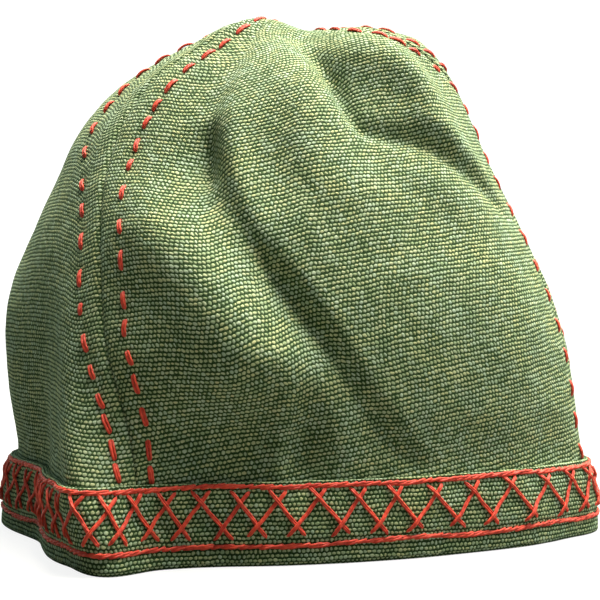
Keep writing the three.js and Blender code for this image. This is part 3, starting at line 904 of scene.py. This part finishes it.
def thread_tree():
    """Lays a few strands along each guide line, thinner at both ends and slowly turning about it."""
    tree = bpy.data.node_groups.new("laid_thread", "GeometryNodeTree")
    inputs = [
        ("Geometry", "Geometry"), ("Strands", "Int"), ("Strand Radius", "Float"), ("Spread", "Float"),
        ("Depth", "Float"), ("Turns per Metre", "Float"), ("End Taper", "Float"), ("Sides", "Int"),
        ("Seed", "Int"), ("Material", "Material"),
    ]
    for label, kind in inputs:
        tree.interface.new_socket(label, in_out="INPUT", socket_type="NodeSocket" + kind)
    tree.interface.new_socket("Geometry", in_out="OUTPUT", socket_type="NodeSocketGeometry")
    given = tree.nodes.new("NodeGroupInput").outputs
    result = tree.nodes.new("NodeGroupOutput").inputs[0]

    def add(kind, **settings):
        made = tree.nodes.new(kind)
        for key, value in settings.items():
            setattr(made, key, value)
        return made

    def through(kind, geometry, settings=None, **values):
        """Adds a node that geometry goes through."""
        made = add(kind, **(settings or {}))
        feed(tree, made.inputs[0], geometry)
        for key, value in values.items():
            feed(tree, made.inputs[key], value)
        return made

    def stored(geometry, label, value, kind="FLOAT"):
        """Keeps a value at each point, under a name that the material reads."""
        return through("GeometryNodeStoreNamedAttribute", geometry, {"data_type": kind, "domain": "POINT"},
                       Name=label, Value=value).outputs[0]

    lines = through("GeometryNodeMeshToCurve", given["Geometry"]).outputs[0]
    number = add("GeometryNodeInputNamedAttribute", data_type="INT")
    number.inputs["Name"].default_value = "number"
    copies = through("GeometryNodeDuplicateElements", lines, {"domain": "SPLINE"}, Amount=given["Strands"])
    strand = copies.outputs["Duplicate Index"]
    spline = add("GeometryNodeSplineParameter")
    factor = spline.outputs["Factor"]
    length = spline.outputs["Length"]
    chance = add("FunctionNodeRandomValue", data_type="FLOAT")
    feed(tree, chance.inputs["ID"], number.outputs[0])
    feed(tree, chance.inputs["Seed"], given["Seed"])
    share = calc(tree, "DIVIDE", strand, given["Strands"])
    turn = calc(tree, "ADD", share, calc(tree, "MULTIPLY", length, given["Turns per Metre"]))
    turn = calc(tree, "ADD", turn, chance.outputs[1])
    turn = calc(tree, "MULTIPLY", turn, math.tau)
    from_end = calc(tree, "MINIMUM", factor, calc(tree, "SUBTRACT", 1.0, factor))
    fullness = calc(tree, "DIVIDE", from_end, given["End Taper"], clamp=True)
    fullness = calc(tree, "POWER", fullness, 0.5)
    out = add("GeometryNodeInputNamedAttribute", data_type="FLOAT_VECTOR")
    out.inputs["Name"].default_value = "out"
    tangent = add("GeometryNodeInputTangent").outputs[0]
    aside = vector_calc(tree, "CROSS_PRODUCT", tangent, out.outputs[0])
    sideways = calc(tree, "MULTIPLY", calc(tree, "COSINE", turn), given["Spread"])
    sideways = calc(tree, "MULTIPLY", sideways, weighted(tree, (fullness, 0.7), (1.0, 0.3)))
    lift = calc(tree, "MULTIPLY", calc(tree, "SINE", turn), given["Depth"])
    shift = vector_calc(tree, "ADD", scaled(tree, aside, sideways), scaled(tree, out.outputs[0], lift))
    moved = through("GeometryNodeSetPosition", copies.outputs["Geometry"], Offset=shift).outputs[0]

    shade_id = calc(tree, "ADD", calc(tree, "MULTIPLY", number.outputs[0], 17.0), strand)
    shade = add("FunctionNodeRandomValue", data_type="FLOAT")
    feed(tree, shade.inputs["ID"], shade_id)
    feed(tree, shade.inputs["Seed"], given["Seed"])
    kept = stored(moved, "shade", shade.outputs[1])
    kept = stored(kept, "along", length)
    ring = add("GeometryNodeCurvePrimitiveCircle", mode="RADIUS")
    feed(tree, ring.inputs["Resolution"], given["Sides"])
    ring.inputs["Radius"].default_value = 1.0
    position = add("GeometryNodeInputPosition").outputs[0]
    ring = stored(ring.outputs[0], "around", position, "FLOAT_VECTOR")
    thickness = calc(tree, "MULTIPLY", given["Strand Radius"], weighted(tree, (fullness, 0.55), (1.0, 0.45)))
    tubes = through("GeometryNodeCurveToMesh", kept, Scale=thickness)
    feed(tree, tubes.inputs["Profile Curve"], ring)
    tubes.inputs["Fill Caps"].default_value = True
    smooth = through("GeometryNodeSetShadeSmooth", tubes.outputs[0]).outputs[0]
    real = through("GeometryNodeRealizeInstances", smooth).outputs[0]
    coloured = through("GeometryNodeSetMaterial", real, Material=given["Material"]).outputs[0]
    feed(tree, result, coloured)
    return tree


def scaled(tree, vector, factor):
    """A vector at another length."""
    made = tree.nodes.new("ShaderNodeVectorMath")
    made.operation = "SCALE"
    feed(tree, made.inputs[0], vector)
    feed(tree, made.inputs["Scale"], factor)
    return made.outputs[0]


LAID_THREAD = thread_tree()


def laid_thread(name, points, outs, material, slot, **sizes):
    """Thread along the guide lines as one plain mesh, riding with the cap."""
    guide = guide_lines(name + "_guide", points, outs)
    modifier = guide.modifiers.new("thread", "NODES")
    modifier.node_group = LAID_THREAD
    keys = {item.name: item.identifier for item in LAID_THREAD.interface.items_tree
            if item.in_out == "INPUT"}
    for label, value in sizes.items():
        modifier[keys[label.replace("_", " ")]] = value
    modifier[keys["Material"]] = material
    graph = bpy.context.evaluated_depsgraph_get()
    mesh = bpy.data.meshes.new_from_object(guide.evaluated_get(graph), depsgraph=graph)
    mesh.name = name
    made = placed(name, mesh)
    bpy.data.objects.remove(guide)
    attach(made, "root")


# Metres along a strand to one turn of its fibres, and the scales of its single hairs and its tufts
TWIST_LENGTH = 0.0021
HAIR_SCALE = 2600.0
TUFT_SCALE = 420.0
THREAD_RELIEF = 0.00012


def thread_material(name, light, dark):
    """Stranded embroidery thread: fine fibres lie in a slow twist, its strands differ in tone at random, and
    the twist's grooves carry painted shade.
    """
    material, tree, surface = new_surface(name)

    def attribute(label, output):
        made = tree.nodes.new("ShaderNodeAttribute")
        made.attribute_name = label
        return made.outputs[output]

    along = attribute("along", "Fac")
    ring = tree.nodes.new("ShaderNodeSeparateXYZ")
    feed(tree, ring.inputs[0], attribute("around", "Vector"))
    angle = calc(tree, "ARCTAN2", ring.outputs[1], ring.outputs[0])
    ply = calc(tree, "ADD", calc(tree, "MULTIPLY", along, math.tau / TWIST_LENGTH), angle)
    groove_and_painted_shade = weighted(tree, (calc(tree, "SINE", ply), 0.5), (1.0, 0.5))
    place = tree.nodes.new("ShaderNodeTexCoord").outputs["Object"]
    hair = noise(tree, place, HAIR_SCALE)
    tuft = noise(tree, place, TUFT_SCALE)
    # Painted shade: the colour is darker in the grooves of the twist, where the plies would shade each other,
    # and lighter on their crests.
    tone = weighted(tree, (attribute("shade", "Fac"), 0.45), (tuft, 0.45), (groove_and_painted_shade, 0.25))
    tone = ramp(tree, tone, 0.15, 0.95, smooth=False)
    feed(tree, surface.inputs["Base Color"], blended(tree, tone, dark, light))
    bumped(tree, surface, weighted(tree, (groove_and_painted_shade, 0.6), (hair, 0.5)), Distance=THREAD_RELIEF)
    feed(tree, surface.inputs["Roughness"], weighted(tree, (hair, 0.2), (1.0, 0.45)))
    set_inputs(surface, Sheen_Weight=0.25, Sheen_Roughness=0.4, Sheen_Tint=(1.0, 0.55, 0.40, 1))
    return material


red_thread = thread_material("red_orange_thread", (0.95, 0.095, 0.040, 1), (0.52, 0.026, 0.014, 1))


def stem_stitches(height):
    """Turns a line on the band into its row of overlapping stitches."""
    count = int(BAND_ROUND / STEM_PITCH)
    share = np.linspace(0, 1, STEM_POINTS)
    start = np.arange(count) * BAND_ROUND / count + hand.uniform(-0.25, 0.25, count)
    length = STEM_LENGTH * hand.uniform(0.9, 1.12, count)
    slant = STEM_SLANT * hand.uniform(0.6, 1.4, count)
    along = start[:, None] + length[:, None] * share
    point, out = band_frame(along, line_height(along, height) + slant[:, None] * (2 * share - 1))
    lift = STEM_TOP * np.sin(math.pi * share) ** 0.5 - STEM_SINK
    return point + out * lift[:, None], out


stem_points, stem_outs = (
    np.concatenate(values) for values in zip(stem_stitches(UPPER_LINE), stem_stitches(LOWER_LINE)))
laid_thread("stem_stitched_lines", stem_points, stem_outs, red_thread, "band_cloth",
            Strands=2, Strand_Radius=0.00041, Spread=0.00034, Depth=0.00018, Turns_per_Metre=60.0,
            End_Taper=0.22, Sides=6, Seed=3)

# Herringbone stitches
# One long thread zigzags between the two lines, each arm over the one before it, so that the arms
# cross near the top with the falling arm on top, and near the bottom with the rising arm on top.
HERRINGBONE_LOW = 8.0
HERRINGBONE_HIGH = 22.2
CROSSING_PITCH = 10.5
ARM_OVERRUN = 3.0
ARM_BOW = 0.35
ARM_POINTS = 13
ARM_HEIGHT = 0.95
ARM_SINK = 0.55
ARM_DIP = 0.08
THREAD_HEIGHT = 0.75
CROSSING_LENGTH = 1.5
# How far the hand strays along the band, as a share of the pitch and in millimetres, and in height
PITCH_STRAY = 0.13
STRAY = 0.6
# Columns of the picture in which the lower crossings are seen, from the cap's corner to the right
SEEN_CROSSINGS = [88, 118.6, 150, 180.8, 223.9, 257.3, 296.6, 341, 379.4, 414.8, 457.8, 491.3, 531.5, 563]
CORNER_TURN = -126.0
RIGHT_TURN = -4.0


def seen_along(columns, height):
    """Lengths along the band at which its front is seen in these columns of the picture."""
    first, last = (np.interp(t, band_turns, band_lengths) for t in (CORNER_TURN, RIGHT_TURN))
    along = np.linspace(first, last, 700)
    place = picture_place(band_point(along, SEWING_GAP + BAND_THICKNESS, height))[:, 0]
    return np.interp(columns, place, along)


seen = seen_along(SEEN_CROSSINGS, HERRINGBONE_LOW + ARM_OVERRUN)
rest = BAND_ROUND - (seen[-1] - seen[0])
hidden = round(rest / CROSSING_PITCH)
strays = hand.uniform(-PITCH_STRAY, PITCH_STRAY, hidden - 1)
behind = seen[-1] + rest * (np.arange(1, hidden) + strays) / hidden
lower = np.concatenate([seen, behind, [seen[0] + BAND_ROUND]])


def herringbone_arms(left, right, low, high, rising):
    """Straight arms from foot to head or head to foot, each over the arm before it where they cross."""
    share = np.linspace(0, 1, ARM_POINTS)
    start, end = (low, high) if rising else (high, low)
    along = (left - ARM_OVERRUN)[:, None] + (right - left + 2 * ARM_OVERRUN)[:, None] * share
    bow = hand.uniform(-ARM_BOW, ARM_BOW, len(left))[:, None] * np.sin(math.pi * share)
    point, out = band_frame(along, start[:, None] + (end - start)[:, None] * share + bow)
    lift = ARM_HEIGHT * np.clip(np.minimum(share, 1 - share) / ARM_DIP, 0, 1) - ARM_SINK
    lift = lift + THREAD_HEIGHT * np.exp(-((along - left[:, None]) / CROSSING_LENGTH) ** 2)
    return point + out * lift[..., None], out


between = len(lower) - 1
upper = (lower[:-1] + lower[1:]) / 2 + hand.uniform(-STRAY, STRAY, between)
feet, heads = (mean + hand.uniform(-STRAY, STRAY, (2, between))
               for mean in (HERRINGBONE_LOW, HERRINGBONE_HIGH))
rising = herringbone_arms(lower[:-1], upper, feet[0], heads[0], True)
falling = herringbone_arms(upper, lower[1:], feet[1], heads[1], False)
arm_points, arm_outs = (np.concatenate(values) for values in zip(rising, falling))
laid_thread("herringbone_stitches", arm_points, arm_outs, red_thread, "band_cloth",
            Strands=3, Strand_Radius=0.00032, Spread=0.00034, Depth=0.00014, Turns_per_Metre=42.0,
            End_Taper=0.08, Sides=6, Seed=5)

# Running stitches
# Three strands of the same thread hold the seam allowances down, in a line on each side of every
# seam. Each stitch shows as a short flat bar that dips into the cloth at both ends.
STITCH_RISE = 0.62
STITCH_SINK = 0.34
STITCH_ROUNDING = 0.3


def cloth_frame(turn, up):
    """A point on the finished face of the panels and the way out of it."""
    aside = 0.4
    above = 0.002
    across = cloth_point(turn + aside, up) - cloth_point(turn - aside, up)
    rise = cloth_point(turn, up + above) - cloth_point(turn, up - above)
    point = cloth_point(turn, up)
    out = unit(np.cross(across, rise))
    relief = ALLOWANCE_HEIGHT + hand_made(point) - pulled_in(point)
    return point + outward(turn, up) * relief[..., None], out


point, out = cloth_frame(STITCH_TURN, STITCH_UP)
lift = STITCH_RISE * np.sin(np.linspace(0, math.pi, STITCH_POINTS)) ** STITCH_ROUNDING - STITCH_SINK
laid_thread("running_stitches", point + out * lift[:, None], out, red_thread, "crown_cloth",
            Strands=3, Strand_Radius=0.00038, Spread=0.00056, Depth=0.00010, Turns_per_Metre=10.0,
            End_Taper=0.15, Sides=6, Seed=9)

# Where it stands
# A plain pale floor in a bright white room. Most of the light is soft and comes from above and
# behind on the right, and little reaches the front.
FLOOR_HALF = 3.0
floor_mesh = bpy.data.meshes.new("floor")
floor_mesh.from_pydata([(x, y, 0) for x, y in ((-1, -1), (1, -1), (1, 1), (-1, 1))], [], [(0, 1, 2, 3)])
floor_mesh.transform(Matrix.Scale(FLOOR_HALF, 4))
floor = placed("floor", floor_mesh)
pale, pale_tree, pale_surface = new_surface("pale_floor")
set_inputs(pale_surface, Base_Color=(0.13, 0.13, 0.12, 1), Roughness=0.95, Emission_Color=(1, 1, 1, 1))
seen_directly = pale_tree.nodes.new("ShaderNodeLightPath").outputs["Is Camera Ray"]
feed(pale_tree, pale_surface.inputs["Emission Strength"], calc(pale_tree, "MULTIPLY", seen_directly, 0.86))
floor.data.materials.append(pale)


def studio_light(name, place, aim, size, power, colour):
    """A square soft light that faces a point."""
    data = bpy.data.lights.new(name, "AREA")
    data.size = size
    data.energy = power
    data.color = colour
    made = placed(name, data)
    made.location = place
    direction = np.array(aim) - np.array(place)
    made.rotation_euler = (math.atan2(math.hypot(direction[0], direction[1]), -direction[2]), 0,
                           math.atan2(direction[1], direction[0]) - math.pi / 2)


studio_light("key", (0.47, 0.13, 1.60), (0, 0, 0.08), 1.0, 104, (1.0, 0.93, 0.83))
studio_light("front_fill", (1.2, -0.9, 0.30), (0, 0, 0.08), 0.8, 2.5, (0.96, 0.98, 1.0))

world = bpy.data.worlds.new("studio")
world.use_nodes = True
room = world.node_tree
background = room.nodes["Background"]
toward_window = room.nodes.new("ShaderNodeVectorMath")
toward_window.operation = "DOT_PRODUCT"
feed(room, toward_window.inputs[0], room.nodes.new("ShaderNodeTexCoord").outputs["Generated"])
toward_window.inputs[1].default_value = (0.20, 0.93, 0.31)
window_share = ramp(room, toward_window.outputs["Value"], -0.25, 0.95)
seen_directly = room.nodes.new("ShaderNodeLightPath").outputs["Is Camera Ray"]
feed(room, background.inputs["Color"],
     blended(room, seen_directly, (0.76, 0.97, 0.94, 1), (1, 1, 1, 1)))
feed(room, background.inputs["Strength"],
     calc(room, "MAXIMUM", weighted(room, (window_share, 1.3), (1.0, 0.045)), seen_directly))
bpy.context.scene.world = world
bpy.context.scene.view_settings.view_transform = "Standard"
